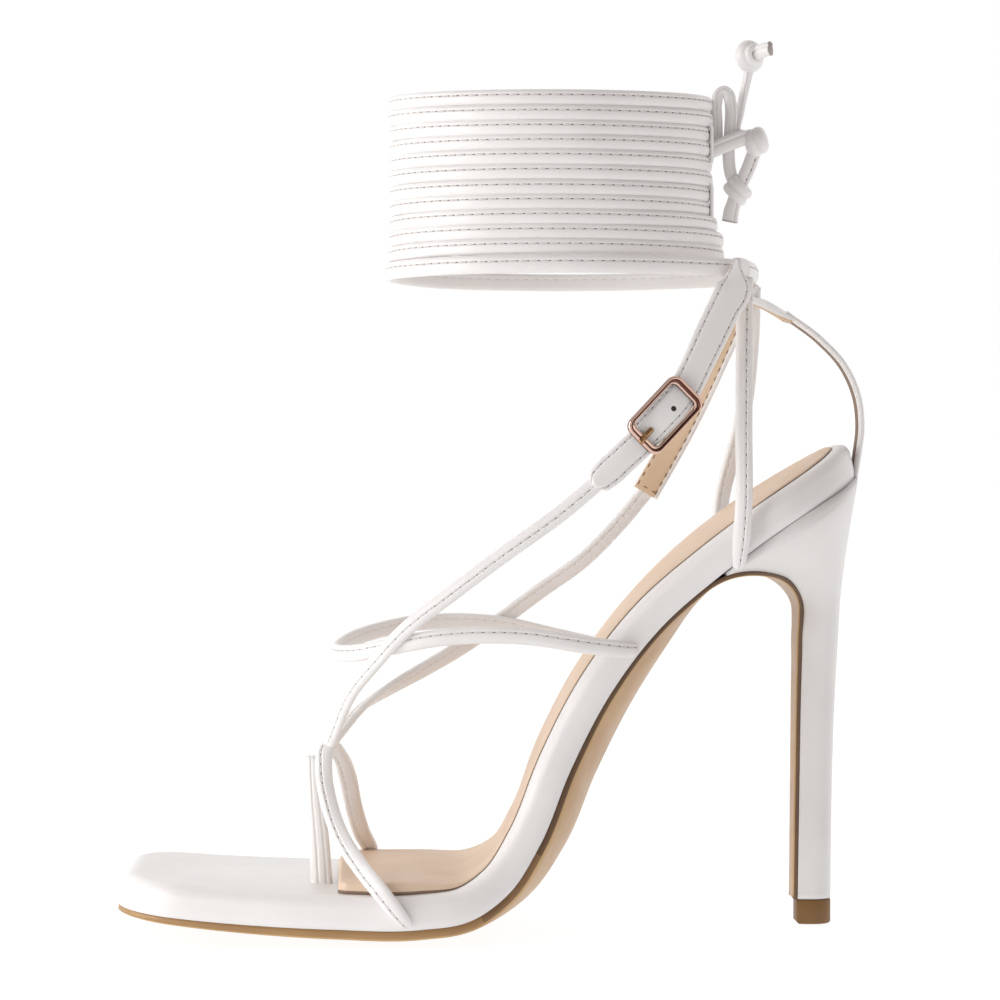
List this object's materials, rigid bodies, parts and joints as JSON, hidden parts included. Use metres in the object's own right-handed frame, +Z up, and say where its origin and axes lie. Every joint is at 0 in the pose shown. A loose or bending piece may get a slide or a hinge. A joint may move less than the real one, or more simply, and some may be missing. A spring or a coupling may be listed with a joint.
{
  "type": "stiletto sandal",
  "caption": "White strappy sandal with a square toe, toe post, buckled instep straps, wound ankle tie and a slim high heel, standing empty on its sole.",
  "frame": {"origin": "on the floor under the middle of the shoe's box, measured without the tie ends", "axes": "+X from toe to heel, +Y from the inner to the outer side of the foot, +Z up"},
  "size_m": [0.1957, 0.0811, 0.2324],
  "materials": {
    "white_leather": "smooth satin white leather",
    "beige_leather": "soft matt beige lining leather",
    "tan_leather": "polished tan sole leather with a dark brown edge",
    "brown_rubber": "hard brown top piece",
    "rose_gold": "polished rose gold plating"
  },
  "bodies": {
    "root": {"outsole": "tan_leather", "footbed": "white_leather", "insole": "beige_leather", "heel": "white_leather", "heel_tip": "brown_rubber", "upper": "white_leather", "buckle_frame": "rose_gold", "buckle_prong": "rose_gold", "ankle_wrap": "white_leather", "ankle_turn_low": "white_leather", "tie_loop": "white_leather", "tie_strand_out": "white_leather", "tie_strand_up": "white_leather", "tie_strand_link": "white_leather", "tie_tail_low": "white_leather", "tie_tail_top": "white_leather", "tie_knot_middle": "white_leather", "tie_knot_low": "white_leather", "tie_knot_top": "white_leather"}
  },
  "joints": []
}
